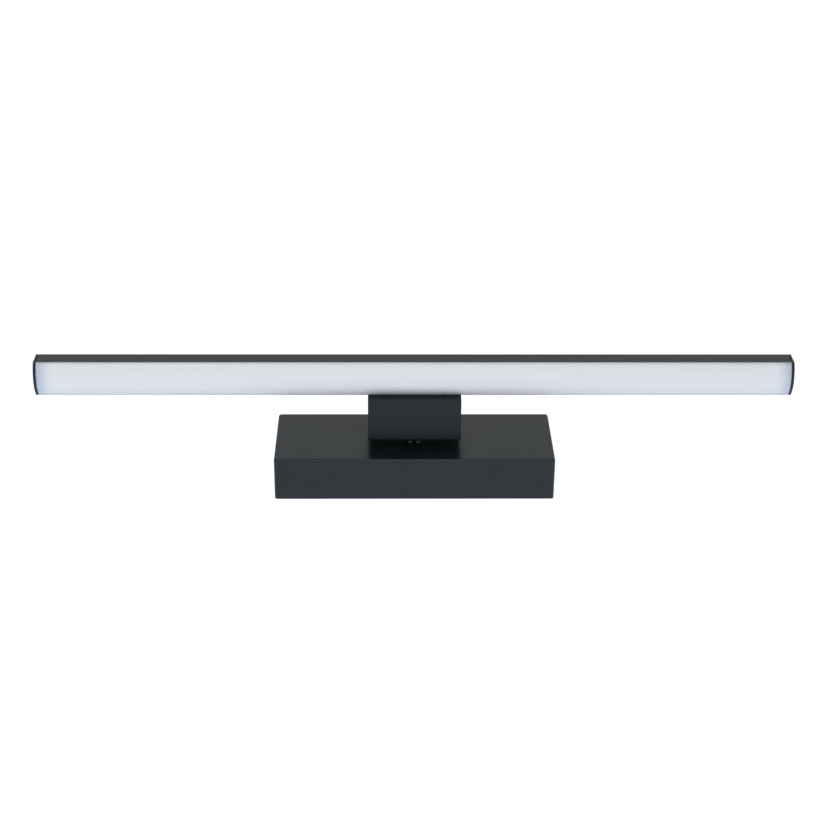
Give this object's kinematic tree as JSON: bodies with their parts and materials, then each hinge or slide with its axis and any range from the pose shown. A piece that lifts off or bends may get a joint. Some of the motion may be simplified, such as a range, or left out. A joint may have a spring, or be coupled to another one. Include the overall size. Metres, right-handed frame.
{
  "type": "picture light",
  "caption": "Slim straight LED picture light: a D-section bar with a bowed opal diffuser on a tilting block neck over a flat oblong mounting box.",
  "frame": {"origin": "centre of the mounting box's back face, where it meets the wall or shelf", "axes": "+Z away from the mounting face towards the bar, +X along the bar, light leaves towards -Y"},
  "size_m": [0.6, 0.08, 0.1065],
  "materials": {
    "box_coating": "satin black powder coat, very fine texture",
    "neck_coating": "satin black, faint brushing along the length",
    "bar_anodised": "black anodised extrusion, satin, fine lines along its length",
    "end_cap_finish": "satin black",
    "opal_diffuser": "opal acrylic, milky and even, faintly blue",
    "post_finish": "satin black",
    "black_steel": "black oxide, slightly oily sheen",
    "zinc_steel": "bright zinc plate",
    "spring_steel": "hardened, dull grey",
    "brass_parts": "bright drawn brass",
    "black_rubber": "matt moulded rubber",
    "white_plastic": "moulded polyamide",
    "dark_plastic": "moulded, matt",
    "circuit_board": "glass-fibre board with solder mask",
    "board_white": "aluminium-backed board with white solder mask",
    "led_emitter": "phosphor-filled silicone in a white frame",
    "gasket_foam": "closed-cell foam",
    "live_insulation": "brown PVC",
    "neutral_insulation": "blue PVC",
    "earth_insulation": "green and yellow PVC",
    "cable_sheath": "white silicone sheath"
  },
  "bodies": {
    "base": {"axle_nuts": "zinc_steel", "cable_grommet": "black_rubber", "cover_screws": "black_steel", "disc_springs": "spring_steel", "driver_board": "circuit_board", "driver_capacitors": "dark_plastic", "driver_case": "white_plastic", "driver_lid": "white_plastic", "driver_screws": "zinc_steel", "driver_transformer": "dark_plastic", "earth_lead": "earth_insulation", "earth_ring_terminal": "brass_parts", "earth_screw": "zinc_steel", "friction_washers": "zinc_steel", "housing_cover": "box_coating", "led_cable_lower": "cable_sheath", "live_lead": "live_insulation", "mounting_plate": "zinc_steel", "neutral_lead": "neutral_insulation", "pivot_post": "post_finish", "pivot_tube": "zinc_steel", "post_screws": "black_steel", "spacer_sleeves": "zinc_steel", "terminal_block": "white_plastic", "terminal_screws": "brass_parts"},
    "head": {"neck_shell": "neck_coating", "neck_cap_left": "neck_coating", "neck_cap_right": "neck_coating", "neck_cap_screws": "black_steel", "neck_bracket": "zinc_steel", "pivot_bushes": "white_plastic", "head_screws": "zinc_steel", "slide_nuts": "zinc_steel", "bar_body": "bar_anodised", "diffuser": "opal_diffuser", "led_board": "board_white", "leds": "led_emitter", "led_connector": "white_plastic", "bar_grommet": "black_rubber", "led_cable_upper": "cable_sheath", "end_gaskets": "gasket_foam", "end_cap_left": "end_cap_finish", "end_cap_right": "end_cap_finish", "end_cap_screws": "black_steel"}
  },
  "joints": [
    {"name": "head_tilt", "type": "hinge", "parent": "base", "child": "head", "pos_m": [0, -0.003, 0.0526], "axis": [1, 0, 0], "range_deg": [-20, 20]}
  ]
}
